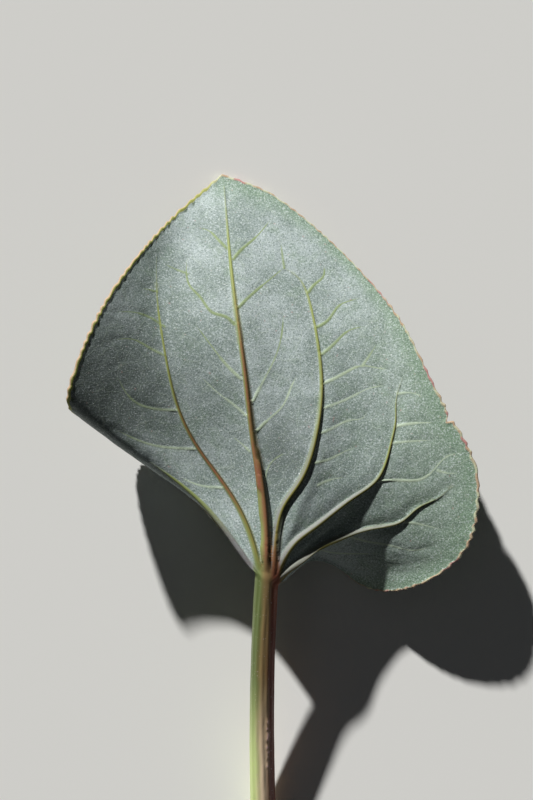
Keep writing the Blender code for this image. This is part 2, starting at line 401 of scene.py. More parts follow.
sideVeins = {
    "right": [
        [(9.6, 32.5), (12.8, 34.0), (16.5, 35.6), (18.8, 35.3), (21.0, 35.0)],
        [(9.3, 37.4), (11.7, 39.4), (14.1, 41.6), (17.0, 42.4)],
        [(8.4, 42.1), (10.7, 43.5), (12.7, 46.1), (14.6, 46.9), (16.2, 47.4)],
        [(7.3, 48.3), (8.5, 49.8), (9.9, 51.1), (10.1, 53.0)],
    ],
    "midrib": [
        [(-5.6, 54.0), (-4.1, 55.8), (-2.0, 57.7), (0.8, 61.2)],
        [(-4.8, 45.4), (-2.2, 48.0), (0.8, 50.6), (3.1, 52.6)],
        [(-2.2, 29.5), (0.0, 33.8), (1.5, 36.8), (2.7, 41.0), (3.0, 44.5)],
        [(-1.6, 24.4), (0.7, 26.7), (2.8, 28.7), (4.1, 31.5), (5.2, 33.9)],
        [(-6.8, 56.0), (-8.3, 57.5), (-9.8, 59.0), (-11.3, 59.5)],
        [(-5.3, 42.6), (-6.8, 43.9), (-9.0, 44.6), (-11.2, 47.3), (-13.0, 49.3), (-13.6, 51.6),
         (-13.5, 54.0)],
        [(-4.2, 33.3), (-6.5, 35.5), (-8.3, 37.7), (-11.8, 42.4)],
    ],
    "side": [
        [(18.8, 15.9), (22.3, 16.1), (26.7, 16.4), (28.9, 18.3), (30.7, 20.1), (32.8, 20.8)],
        [(22.1, 25.3), (25.2, 25.8), (28.4, 25.9)],
    ],
    "faint": [
        [(9.2, 24.1), (11.0, 24.8), (14.8, 26.4), (16.3, 26.6), (17.4, 28.2)],
        [(8.2, 19.1), (10.8, 19.7), (13.0, 20.8), (15.1, 21.7)],
        [(9.8, 28.4), (14.8, 30.4), (17.2, 31.6), (20.6, 32.3)],
        [(16.5, 35.6), (17.8, 37.5), (19.0, 39.3)],
        [(3.2, 52.5), (2.9, 54.4), (2.6, 57.0)],
        [(8.8, 15.3), (10.9, 16.2), (13.3, 16.6)],
        [(-0.2, 16.2), (0.8, 19.0), (3.2, 20.8)],
        [(-13.5, 51.4), (-16.0, 52.4), (-17.3, 53.0)],
        [(-3.4, 27.1), (-5.4, 28.9), (-7.4, 30.4), (-11.3, 34.0)],
        [(-2.7, 21.0), (-4.0, 22.2), (-5.6, 23.5)],
        [(29.1, 17.8), (31.0, 17.3), (32.6, 17.3)],
        [(21.4, 22.4), (24.1, 22.7), (28.3, 22.9)],
        [(22.4, 30.8), (24.7, 31.0), (26.6, 30.4)],
        [(23.4, 9.0), (26.6, 8.5), (29.7, 7.7)],
        [(14.0, 6.4), (17.5, 5.4), (21.3, 4.8), (25.4, 4.0), (28.6, 4.9)],
        [(8.4, 4.3), (11.0, 3.4), (15.1, 3.2), (19.0, 3.2)],
        [(-12.0, 21.4), (-15.0, 21.6), (-18.4, 22.0), (-21.3, 22.9), (-25.6, 25.0)],
        [(-15.0, 28.0), (-18.9, 28.3), (-21.6, 29.2), (-23.8, 31.5), (-24.9, 34.0)],
        [(-17.0, 37.3), (-19.7, 38.6), (-22.1, 39.9), (-25.6, 39.8)],
        [(-17.2, 42.2), (-19.7, 43.8), (-22.6, 44.6), (-25.2, 44.5)],
        [(-18.4, 48.2), (-20.8, 48.7)],
        [(-7.3, 14.8), (-9.7, 15.0), (-12.1, 15.6), (-14.6, 16.8)],
    ],
}
sideSizes = {"halfWidth": (0.22, 0.09), "rise": (0.16, 0.03), "faint": 0.72}

# Veins on the fold and on the hidden lobe, each along one place of the leaf:
# the place, its first and last reach, its first half width and how pale it is
hiddenVeins = [
    (5.0, 0.03, 0.6, 0.75, 1.0),
    (3.4, 0.25, 0.9, 0.5, 0.6),
    (2.2, 0.2, 0.88, 0.5, 0.6),
    (1.1, 0.2, 0.8, 0.4, 0.6),
]
hiddenSizes = {
    "lastHalfWidth": 0.16,
    "rise": (0.55, 0.05),
    "red": (0.0, 0.0, 0.0, 5.0),
    "paleSpan": (5.0, 14.0),
}

tracing = {"mainGap": 0.4, "sideGap": 0.3, "mainTaper": 0.8}      # gaps between a vein's points


def walked(route, gap):
    # a smooth route through the points, sampled every gap, and how far along each sample is
    route = np.asarray(route, float)
    knots = np.concatenate([[0.0], np.cumsum(np.linalg.norm(np.diff(route, axis=0), axis=1))])
    count = max(4, int(round(knots[-1] / gap)) + 1)
    at = np.linspace(0, knots[-1], count)
    return spline(knots, route, at), at / knots[-1]


def tapered(ends, share):
    return ends[0] + (ends[1] - ends[0]) * share


class Vein:
    # its points, pressed and formed, with its size and colours along them
    def __init__(self, places, reaches, share, sizes, main=True, strength=1.0):
        self.flat = pressed(places, reaches)
        self.solid = skinAt(places, reaches)
        self.halfWidth = tapered(sizes["halfWidth"], share)
        self.rise = tapered(sizes["rise"], share)
        self.red = sizes.get("red")
        self.pale = sizes.get("pale")
        self.main = main
        self.strength = strength


def tracedVeins():
    veins = []
    for vein in mainVeins.values():
        route, share = walked(vein["route"], tracing["mainGap"])
        veins.append(Vein(*onBlade(route), share ** tracing["mainTaper"], vein))
    for place, first, last, halfWidth, pale in hiddenVeins:
        count = int(lengthAt(place) * (last - first) / tracing["mainGap"])
        reaches = np.linspace(first, last, count)
        sizes = {
            "halfWidth": (halfWidth, hiddenSizes["lastHalfWidth"]),
            "rise": hiddenSizes["rise"],
            "red": hiddenSizes["red"],
            "pale": (pale, *hiddenSizes["paleSpan"]),
        }
        veins.append(Vein(np.full(count, place), reaches, (reaches - first) / (last - first), sizes))
    for name, routes in sideVeins.items():
        strength = sideSizes["faint"] if name == "faint" else 1.0
        for points in routes:
            route, share = walked(points, tracing["sideGap"])
            veins.append(Vein(*onBlade(route), share, sideSizes, False, strength))
    return veins


# The blade's mesh: points laid on the pressed leaf, closest along the veins and the margin

layout = {
    "neckPoints": 49,
    "marginStep": 0.2,
    "sinusStep": 0.3,
    "marginRows": (0.2, 0.45, 0.8, 1.25),      # insets
    "rowStretch": 1.4,                         # their points lie this much wider than the margin's
    "rowEnd": 0.6,
    "marginClear": 0.12,
    "neckClear": 0.25,
    "veinStep": 0.16,
    "veinClear": 0.3,
    "mainRows": (0.4, 0.75, 1.0, 1.35, 1.9),   # in half widths
    "mainStep": 0.13,
    "sideRows": (0.5, 1.0, 1.5, 2.4),
    "sideStep": 0.15,
    "fillStep": 0.52,
    "fillGap": 0.72,                           # in steps, between the fill and what is there
    "fillClear": 1.0,
    "cell": 0.6,
}

margin = {
    "toothStep": 2.1,
    "toothDepth": 0.4,
    "crestAt": 0.72,               # how far through a tooth its crest is
    "leftToothStep": 1.95,
    "leftToothDepth": 0.42,
    "leftCrestAt": 0.5,
    "toothMiddle": 0.55,           # share of a tooth that stands inside the plain outline
    "tipClear": 2.5,               # the teeth fade out towards the tip
    "tearAt": (30.9, 26.6),
    "tearDepth": 1.1,
    "tearWidth": 0.75,
    "cordRise": 0.1,               # the rolled cord along the left margin
    "cordWidth": 0.42,
    "cordInset": 0.3,
    "grooveDepth": 0.08,
    "grooveWidth": 0.35,
    "grooveInset": 0.9,
    "lipRise": 0.14,               # the low lip along the right margin
    "lipWidth": 0.5,
    "bead": 0.16,                  # how far the rounded rim stands out
    "beadFade": 0.1,               # share of the reach over which it fades at the neck
}


def marginWalk():
    # how far along the margin each place is, and the place of the tear
    points = skinAt(tablePlaces, np.ones(len(tablePlaces)))
    steps = np.linalg.norm(np.diff(points, axis=0), axis=1)
    walk = np.concatenate([[0.0], np.cumsum(steps)])
    tear = np.argmin(np.hypot(points[:, 0] - margin["tearAt"][0], points[:, 1] - margin["tearAt"][1]))
    return walk, walk[tear]


marginTable, tearWalk = marginWalk()


def toothShape(places):
    # how full each tooth is, 0 in a notch and 1 on a crest, with its walk and depth
    walk = np.interp(places, tablePlaces, marginTable)
    tip = np.interp(form["midrib"], tablePlaces, marginTable)
    away = np.abs(walk - tip)
    onLeft = walk < tip
    step = np.where(onLeft, margin["leftToothStep"], margin["toothStep"])
    beat = away / step + 0.35 * np.sin(away * 0.31) + 0.2 * np.sin(away * 0.83 + 1.0)
    share = beat % 1.0
    crest = np.where(onLeft, margin["leftCrestAt"], margin["crestAt"])
    profile = np.where(share < crest, smooth(share / crest), smooth((1 - share) / (1 - crest)))
    uneven = 0.75 + 0.35 * np.sin(away * 0.47 + 2.0) * np.sin(away * 0.19)
    depth = np.where(onLeft, margin["leftToothDepth"], margin["toothDepth"])
    return profile, walk, depth * smooth(away / margin["tipClear"]) * uneven


def toothAt(places):
    # the margin's blunt teeth and its one small tear, in millimetres outwards
    profile, walk, depth = toothShape(places)
    tear = margin["tearDepth"] * np.exp(-np.abs((walk - tearWalk) / margin["tearWidth"]) ** 1.5)
    return depth * (profile - margin["toothMiddle"]) - tear


class Sieve:
    # keeps points that are far enough from those already kept
    def __init__(self, cell):
        self.cell = cell
        self.cells = {}
        self.kept = []

    def near(self, x, y):
        column, row = int(x // self.cell), int(y // self.cell)
        for i in (column - 1, column, column + 1):
            for k in (row - 1, row, row + 1):
                yield from self.cells.get((i, k), ())

    def add(self, points, gap):
        for x, y in points:
            if all((x - a) ** 2 + (y - b) ** 2 >= gap * gap for a, b in self.near(x, y)):
                self.cells.setdefault((int(x // self.cell), int(y // self.cell)), []).append((x, y))
                self.kept.append((x, y))


def outlineLoop():
    # along the neck, up the right side of the sinus, back along the margin, down the left side
    last = float(lastRib)
    inner = np.linspace(0, last, layout["neckPoints"])
    sinusCount = int(lengthAt(last) / layout["sinusStep"])
    sinus = np.linspace(0, 1, sinusCount + 2)[1:-1]
    count = int(marginTable[-1] / layout["marginStep"])
    outer = np.interp(np.linspace(marginTable[-1], 0, count), marginTable, tablePlaces)
    places = np.concatenate([inner, np.full(sinusCount, last), outer, np.zeros(sinusCount)])
    outerReaches = 1 + toothAt(outer) / lengthAt(outer)
    reaches = np.concatenate([np.zeros(len(inner)), sinus, outerReaches, sinus[::-1]])
    return pressed(places, reaches)


def marginRows():
    # rows of points along the margin, less and less toothed
    count = int(marginTable[-1] / layout["marginStep"] / layout["rowStretch"])
    walk = np.linspace(layout["rowEnd"], marginTable[-1] - layout["rowEnd"], count)
    places = np.interp(walk, marginTable, tablePlaces)
    deepest = layout["marginRows"][-1]
    for inset in layout["marginRows"]:
        shift = toothAt(places) * (1 - inset / deepest) - inset
        yield pressed(places, 1 + shift / lengthAt(places))


def veinRow(vein, offset):
    # points beside a vein at offset half widths, measured on the formed skin
    along = np.gradient(vein.flat, axis=0)
    along /= np.linalg.norm(along, axis=1)[:, None]
    across = np.stack([-along[:, 1], along[:, 0]], axis=1)
    trial = 0.2
    tried = skinAt(*unpressed(vein.flat + trial * across)) - vein.solid
    direction = np.gradient(vein.solid, axis=0)
    direction /= np.linalg.norm(direction, axis=1)[:, None]
    tried -= (tried * direction).sum(axis=1)[:, None] * direction
    scale = trial / np.clip(np.linalg.norm(tried, axis=1), 0.08, 0.6)
    return vein.flat + (offset * vein.halfWidth * scale)[:, None] * across


def insideBlade(points, inset):
    # clear of the neck, the sinus and the margin
    places, reaches = unpressed(points)
    turns = np.arctan2(points[:, 1], points[:, 0])
    radius = np.hypot(points[:, 0], points[:, 1])
    length = lengthAt(places)
    clear = (tableTurns[-1] - np.abs(turns)) * radius > inset
    return clear & (reaches * length > layout["neckClear"]) & ((1 - reaches) * length > inset)


def evenField():
    # points a fill step apart, every other row shifted by half a step
    step = layout["fillStep"]
    reach = tableLengths.max() + 2
    rows = []
    for i, y in enumerate(np.arange(-reach, reach, step * math.sqrt(3) / 2)):
        x = np.arange(-reach, reach, step) + (i % 2) * step / 2
        rows.append(np.stack([x, np.full(len(x), y)], axis=1))
    return np.concatenate(rows)


def bladeLayout(veins):
    outline = outlineLoop()
    sieve = Sieve(layout["cell"])
    sieve.add(outline, 0.0)
    for row in marginRows():
        sieve.add(row[insideBlade(row, layout["marginClear"])], layout["mainStep"])
    for vein in veins:
        sieve.add(vein.flat[insideBlade(vein.flat, layout["veinClear"])], layout["veinStep"])
    for vein in veins:
        kind = "main" if vein.main else "side"
        for offset in layout[kind + "Rows"]:
            for side in (-offset, offset):
                row = veinRow(vein, side)
                sieve.add(row[insideBlade(row, layout["veinClear"])], layout[kind + "Step"])
    field = evenField()
    sieve.add(field[insideBlade(field, layout["fillClear"])], layout["fillStep"] * layout["fillGap"])
    loop = list(range(len(outline)))[::-1]
    result = delaunay_2d_cdt([Vector(point) for point in sieve.kept], [], [loop], 1, 1e-5)
    return np.array([tuple(point) for point in result[0]]), [tuple(face) for face in result[2]]


# Relief: how far the skin stands off its bare form, and what the material needs to know

relief = {
    "pillow": 0.16,            # the blade swells a little between the veins
    "pillowReach": 2.4,
    "ripples": [(0.05, 2.6, 0.5), (0.03, 0.85, 7.5)],      # depth, size, layer of the noise
    "neckEase": 6.5,
    "mainReach": 3.2,
    "sideReach": 1.2,
    # painted shade patches, darker colour where the blade's shading falls: where each is from above,
    # how far it reaches and how much
    "paintedShadePatches": [(-29.0, 30.0, 24.0, 0.9), (3.0, 21.0, 11.0, 0.6)],
}


def besideVein(vein, flat, solid, reach):
    # points within reach of a vein: their numbers, distances, shares along it and sides
    low, high = vein.flat.min(axis=0) - 2 * reach, vein.flat.max(axis=0) + 2 * reach
    chosen = np.flatnonzero(((flat > low) & (flat < high)).all(axis=1))
    best = np.full(len(chosen), np.inf)
    where = np.zeros(len(chosen))
    side = np.zeros(len(chosen))
    here, there = solid[chosen], flat[chosen]
    for i in range(len(vein.solid) - 1):
        start, step = vein.solid[i], vein.solid[i + 1] - vein.solid[i]
        close = np.flatnonzero(np.abs(there - vein.flat[i]).max(axis=1) < 2 * reach)
        share = np.clip((here[close] - start) @ step / (step @ step), 0, 1)
        away = np.linalg.norm(here[close] - start - share[:, None] * step, axis=1)
        closer = away < best[close]
        close, away, share = close[closer], away[closer], share[closer]
        best[close], where[close] = away, i + share
        turn = vein.flat[i + 1] - vein.flat[i]
        offset = there[close] - vein.flat[i]
        side[close] = np.sign(turn[0] * offset[:, 1] - turn[1] * offset[:, 0])
    near = best < reach
    return chosen[near], best[near], where[near], side[near]


def veinProfile(t):
    # a rounded ridge with a soft foot, for distances in half widths
    ridge = np.clip(1 - t * t, 0, 1) ** 0.6
    foot = 1 - smooth(t / 1.4)
    return 0.72 * ridge + 0.28 * foot


class Skin:
    # the underside's points with their relief and their masks
    def __init__(self, flat, veins):
        self.flat = flat
        self.places, self.reaches = unpressed(flat)
        self.bare = skinAt(self.places, self.reaches)
        self.fromNeck = self.reaches * lengthAt(self.places)
        self.inset = lengthAt(self.places) - self.fromNeck + toothAt(self.places)
        self.ease = smooth(self.fromNeck / relief["neckEase"])
        self.normals = self.easedNormals()
        count = len(flat)
        self.veinHeight = np.zeros(count)
        self.mainDistance = np.full(count, 9.0)          # far from every vein
        self.core, self.fine, self.red = np.zeros(count), np.zeros(count), np.zeros(count)
        self.pale, self.flank = np.zeros(count), np.zeros(count)
        for vein in veins:
            self.addVein(vein)
        self.addRelief()

    def easedNormals(self):
        # square to the skin, and square to the stalk where the two meet
        side, up, down = stalkWays()
        turns = math.pi * (1 - self.places / lastRib)
        around = np.cos(turns)[:, None] * side + np.sin(turns)[:, None] * up
        ease = self.ease[:, None]
        normals = ease * skinNormals(self.places, self.reaches) + (1 - ease) * around
        return normals / np.linalg.norm(normals, axis=1)[:, None]

    def addVein(self, vein):
        reach = relief["mainReach"] if vein.main else relief["sideReach"]
        at, away, where, side = besideVein(vein, self.flat, self.bare, reach)
        steps = np.arange(len(vein.halfWidth))
        half = np.interp(where, steps, vein.halfWidth)
        t = away / half
        height = np.interp(where, steps, vein.rise) * veinProfile(t) * vein.strength
        self.veinHeight[at] = np.maximum(self.veinHeight[at], height)
        tip = smooth((where / steps[-1] - 0.82) / 0.18)      # its colour fades at the end
        cover = (1 - smooth((t - 0.75) / 0.6)) * vein.strength * (1 - 0.7 * tip)
        if not vein.main:
            self.fine[at] = np.maximum(self.fine[at], cover)
            self.mainDistance[at] = np.minimum(self.mainDistance[at], 1.0 + 1.6 * away)
            return
        self.mainDistance[at] = np.minimum(self.mainDistance[at], np.maximum(away - 0.6 * half, 0))
        stronger = cover > self.core[at]
        chosen = at[stronger]
        self.core[chosen] = cover[stronger]
        along = self.bare[chosen, 1]
        amount, start, full, gone = vein.red
        redness = amount * (1 - smooth((along - full) / (gone - full)))
        self.red[chosen] = redness * smooth((along - start) / 7.0)
        amount, full, gone = vein.pale
        self.pale[chosen] = amount * (1 - smooth((along - full) / (gone - full)))
        # flank: positive on the side towards the key light, where the veins get painted light, and
        # negative where they get painted shade
        # a wholly pale vein is lit on both flanks
        lean = -side[stronger] * np.clip(t[stronger], 0, 1)
        self.flank[chosen] = 0.7 if amount >= 1 else lean

    def addRelief(self):
        self.leftHalf = smooth((form["midrib"] - self.places) / 0.6)
        hollow = 1 - smooth(self.mainDistance / relief["pillowReach"])
        strands = strandRelief(180 * (1 - self.places / lastRib))
        height = (self.veinHeight - relief["pillow"] * hollow) * self.ease + strands * (1 - self.ease)
        edge = smooth(self.inset / 0.8)
        height += self.ripples() * self.ease * (0.3 + 0.7 * edge) * (1 - 0.6 * self.core)
        leftRim, rightRim = self.rims()
        self.height = height + leftRim + rightRim
        # painted shade: how strongly each point takes the darker colour of the shade patches
        self.paintedShade = np.zeros(len(self.flat))
        for x, y, reach, amount in relief["paintedShadePatches"]:
            away = np.hypot(self.bare[:, 0] - x, self.bare[:, 1] - y)
            self.paintedShade = np.maximum(self.paintedShade, amount * (1 - smooth(away / reach)))
        self.points = self.bare + self.height[:, None] * self.normals

    def ripples(self):
        wave = np.zeros(len(self.flat))
        for i, (x, y) in enumerate(self.flat):
            for depth, size, layer in relief["ripples"]:
                wave[i] += depth * noise.noise((x / size, y / size, layer))
        return wave

    def rims(self):
        # the left margin's rolled cord and the groove inside it, and the right margin's lip
        crest = toothShape(self.places)[0]
        self.notch = 1 - crest
        width = margin["cordWidth"] * (0.75 + 0.5 * crest)
        roll = np.clip(1 - ((self.inset - margin["cordInset"]) / width) ** 2, 0, 1)
        cord = margin["cordRise"] * self.leftHalf * roll
        hollow = np.exp(-((self.inset - margin["grooveInset"]) / margin["grooveWidth"]) ** 2)
        groove = margin["grooveDepth"] * self.leftHalf * (1 - 0.9 * crest) * hollow
        shown = smooth((self.places - 4.2) / 0.8)            # no cord on the folded part
        lip = margin["lipRise"] * (1 - self.leftHalf) * (1 - smooth(self.inset / margin["lipWidth"]))
        return (cord - groove) * shown, lip


def upperSide(skin):
    # the other face of the blade; near the neck it goes round to the stalk's lower half
    depth = form["thickness"] - 0.3 * skin.height + 0.1 * skin.core
    points = skin.bare - depth[:, None] * skin.normals
    turns = math.pi * (1 - skin.places / lastRib)
    below = neckRing(-turns) + (skin.bare - neckRing(turns))
    blend = smooth(1 - skin.reaches / form["neckReach"])[:, None]
    return points * (1 - blend) + below * blend


def boundaryOf(faces):
    # the loop of outer edges, in the direction that its faces run
    following = {}
    edges = {(face[i], face[(i + 1) % len(face)]) for face in faces for i in range(len(face))}
    for a, b in edges:
        if (b, a) not in edges:
            following[a] = b
    loop = [next(iter(following))]
    while following[loop[-1]] != loop[0]:
        loop.append(following[loop[-1]])
    return loop


def addPointData(mesh, name, values):
    data = mesh.attributes.new(name, "FLOAT", "POINT")
    data.data.foreach_set("value", np.asarray(values, np.float32))


def outOfBlade(skin, ring):
    # the direction out of the blade at each point round it
    places, reaches = skin.places[ring], skin.reaches[ring]
    outward = skinAt(places, reaches + 0.01) - skin.bare[ring]
    sideways = skinAt(np.clip(places + 0.02, 0, lastRib), reaches)
    sideways -= skinAt(np.clip(places - 0.02, 0, lastRib), reaches)
    onSinus = np.minimum(places, lastRib - places) < 1e-4
    sign = np.where(places < 1, -1.0, 1.0)
    outward = np.where(onSinus[:, None], sideways * sign[:, None], outward)
    return outward / np.linalg.norm(outward, axis=1)[:, None]


def bladeMesh(skin, faces):
    # the underside, the upper side and a rounded rim between them
    count = len(skin.flat)
    loop = boundaryOf(faces)
    ring = np.array(loop)
    over = upperSide(skin)
    reaches = skin.reaches[ring]
    swell = np.where(reaches < 1e-4, 0.0, margin["bead"] * smooth(reaches / margin["beadFade"]))
    middle = (skin.points[ring] + over[ring]) / 2 + outOfBlade(skin, ring) * swell[:, None]
    allFaces = list(faces)
    allFaces += [tuple(i + count for i in reversed(face)) for face in faces]
    for k in range(len(loop)):
        following = (k + 1) % len(loop)
        a, b = loop[k], loop[following]
        middleA, middleB = 2 * count + k, 2 * count + following
        allFaces += [(b, a, middleA, middleB), (middleB, middleA, a + count, b + count)]
    points = placed(np.concatenate([skin.points, over, middle]))
    mesh = bpy.data.meshes.new("leafBlade")
    mesh.from_pydata([tuple(point) for point in points], [], allFaces)
    masks = {
        "vein": skin.core, "fineVein": skin.fine, "red": skin.red, "pale": skin.pale,
        "flank": skin.flank, "inset": skin.inset, "left": skin.leftHalf,
        "fromNeck": skin.fromNeck, "notch": skin.notch, "paintedShade": skin.paintedShade,
    }
    for name, values in masks.items():
        addPointData(mesh, name, np.concatenate([values, values, values[ring]]))
    addPointData(mesh, "upperSide", np.repeat([0.0, 1.0, 0.5], [count, count, len(loop)]))
    return mesh


def buildBlade():
    veins = tracedVeins()
    flat, faces = bladeLayout(veins)
    mesh = bladeMesh(Skin(flat, veins), faces)
    blade = bpy.data.objects.new("leafBlade", mesh)
    bpy.context.collection.objects.link(blade)
    bpy.ops.object.select_all(action="DESELECT")
    bpy.context.view_layer.objects.active = blade
    blade.select_set(True)
    bpy.ops.object.mode_set(mode="EDIT")
    bpy.ops.mesh.select_all(action="SELECT")
    bpy.ops.mesh.remove_doubles(threshold=0.00001)
    bpy.ops.mesh.normals_make_consistent(inside=False)
    bpy.ops.object.mode_set(mode="OBJECT")
    bpy.ops.object.shade_smooth()
    fromNeck = np.zeros(len(mesh.vertices), np.float32)
    mesh.attributes["fromNeck"].data.foreach_get("value", fromNeck)
    for edge in mesh.edges:          # crisp where the blade meets the stalk
        edge.use_edge_sharp = bool(max(fromNeck[i] for i in edge.vertices) < 0.01)
    return blade


# The stalk: a cylinder whose rings are drawn onto its route down to the floor

stalk = {
    "endRadius": 2.2,
    "endY": -44.0,
    "bow": 0.7,
    "bowY": -28.0,
    "sides": 96,
    "rings": 150,
    "ribCount": 13,
    "ribs": 0.035,
    "lumps": 0.03,
    "lumpSize": (16.0, 3.5),       # degrees round, millimetres along
    "smoothTop": 5.0,              # the ribs and lumps fade out towards the neck
    "strandEnd": 11.0,
    "cutInsets": (0.06, 0.14, 0.2, 0.3),
    "cutRim": 0.97,                # share of the radius outside which the cut is flat
    "cutRough": 0.25,
    "cutHollow": 0.3,
    "blisterTurn": 62.0,           # degrees round from the right-hand side, over the top
    # how far down each blister is, and its size
    "blisters": [(-25.1, 0.30), (-26.2, 0.24), (-27.3, 0.34), (-28.1, 0.36), (-29.6, 0.30),
                 (-30.4, 0.28), (-31.2, 0.18), (-32.9, 0.26), (-33.6, 0.2)],
    "blisterRise": 0.2,
}


def stalkCentre(y):
    # the middle of the stalk and its radius
    share = (form["neck"][1] - y) / (form["neck"][1] - stalk["endY"])
    bow = 1 - ((y - stalk["bowY"]) / (form["neck"][1] - stalk["bowY"])) ** 2
    x = form["neck"][0] - (stalk["bow"] + form["neck"][0]) * bow
    z = form["neck"][2] + (stalk["endRadius"] - form["neck"][2]) * share
    radius = form["neckRadius"] + (stalk["endRadius"] - form["neckRadius"]) * share
    return np.array([x, y, z]), radius


def blisterAt(y, turn):
    # small pale blisters in a row along the upper right of the stalk
    bump = 0.0
    for i, (at, size) in enumerate(stalk["blisters"]):
        wander = 3.0 * math.sin(i * 2.1)
        across = math.radians(turn - stalk["blisterTurn"] - wander) * stalk["endRadius"]
        bump = max(bump, math.exp(-((y - at) / size) ** 2 - (across / (size * 0.8)) ** 2))
    return bump


def buildStalk():
    bpy.ops.object.select_all(action="DESELECT")
    bpy.ops.mesh.primitive_cylinder_add(vertices=stalk["sides"], radius=1.0, depth=1.0)
    piece = bpy.context.object
    piece.name = piece.data.name = "leafStalk"
    bpy.ops.object.mode_set(mode="EDIT")
    bpy.ops.mesh.select_mode(type="EDGE")
    bpy.ops.mesh.select_all(action="DESELECT")
    bpy.ops.object.mode_set(mode="OBJECT")
    for edge in piece.data.edges:
        first, second = (piece.data.vertices[i].co for i in edge.vertices)
        edge.select = abs(first.z - second.z) > 0.5
    bpy.ops.object.mode_set(mode="EDIT")
    bpy.ops.mesh.subdivide(number_cuts=stalk["rings"])
    bpy.ops.mesh.select_all(action="DESELECT")
    bpy.ops.mesh.select_mode(type="FACE")
    bpy.ops.object.mode_set(mode="OBJECT")
    for face in piece.data.polygons:
        face.select = len(face.vertices) > 4 and face.center.z < 0
    bpy.ops.object.mode_set(mode="EDIT")
    for thickness in stalk["cutInsets"]:
        bpy.ops.mesh.inset(thickness=thickness, depth=0.0)
    bpy.ops.object.mode_set(mode="OBJECT")
    shapeStalk(piece.data)
    piece.data.update()
    bpy.ops.object.mode_set(mode="EDIT")
    bpy.ops.mesh.select_all(action="SELECT")
    bpy.ops.mesh.normals_make_consistent(inside=False)
    bpy.ops.object.mode_set(mode="OBJECT")
    bpy.ops.object.shade_smooth_by_angle(angle=math.radians(50))
    return piece


def shapeStalk(mesh):
    # each point of the upright unit cylinder goes to its place on the stalk
    toRight, up, down = stalkWays()
    length = form["neck"][1] - stalk["endY"]
    lumpTurn, lumpLength = stalk["lumpSize"]
    around, fromNeck, cut, blistered = [], [], [], []
    for vertex in mesh.vertices:
        share = 0.5 - vertex.co.z
        out = math.hypot(vertex.co.x, vertex.co.y)
        turn = math.degrees(math.atan2(vertex.co.y, vertex.co.x))
        y = form["neck"][1] - length * share
        centre, radius = stalkCentre(y)
        away = smooth(share * length / stalk["smoothTop"])
        ribs = stalk["ribs"] * math.sin(math.radians(turn) * stalk["ribCount"] + math.sin(y * 0.12))
        lumps = stalk["lumps"] * noise.noise((turn / lumpTurn, y / lumpLength, 3.0))
        blister = blisterAt(y, turn)
        strands = strandRelief(turn) * (1 - smooth(share * length / stalk["strandEnd"]))
        bumps = strands + away * (ribs + lumps + stalk["blisterRise"] * blister)
        skin = radius + (bumps if out > 0.99 else 0.0)
        side = math.cos(math.radians(turn)) * out
        rise = math.sin(math.radians(turn)) * out
        point = centre + skin * (side * toRight + rise * up)
        point = point + radius * side * form["neckSlant"] * (1 - share) ** 3 * down
        if share > 0.999 and out < stalk["cutRim"]:
            rough = stalk["cutRough"] * noise.noise((point[0] * 1.4, point[2] * 1.4, 2.0))
            point[1] += rough + stalk["cutHollow"] * (stalk["cutRim"] - out)
        vertex.co = placed(point)
        around.append(side)
        fromNeck.append(share * length)
        cut.append(1.0 - smooth((out - 0.9) / 0.06) if share > 0.999 else 0.0)
        blistered.append(blister)
    addPointData(mesh, "across", around)
    addPointData(mesh, "fromNeck", fromNeck)
    addPointData(mesh, "cut", cut)
    addPointData(mesh, "blister", blistered)


# Materials: arithmetic on sockets, and one method for every other node

def tint(red, green, blue):
    # a colour as it looks on a screen, 0 to 255, made linear
    return tuple((part / 255 / 12.92) if part < 11 else ((part / 255 + 0.055) / 1.055) ** 2.4
                 for part in (red, green, blue)) + (1.0,)


class Wire:
    # a socket that takes part in sums
    def __init__(self, paint, socket):
        self.paint = paint
        self.socket = socket

    def __add__(self, other):
        return self.paint.maths("ADD", self, other)

    def __sub__(self, other):
        return self.paint.maths("SUBTRACT", self, other)

    def __rsub__(self, other):
        return self.paint.maths("SUBTRACT", other, self)

    def __mul__(self, other):
        return self.paint.maths("MULTIPLY", self, other)

    def __truediv__(self, other):
        return self.paint.maths("DIVIDE", self, other)

    __radd__ = __add__
    __rmul__ = __mul__


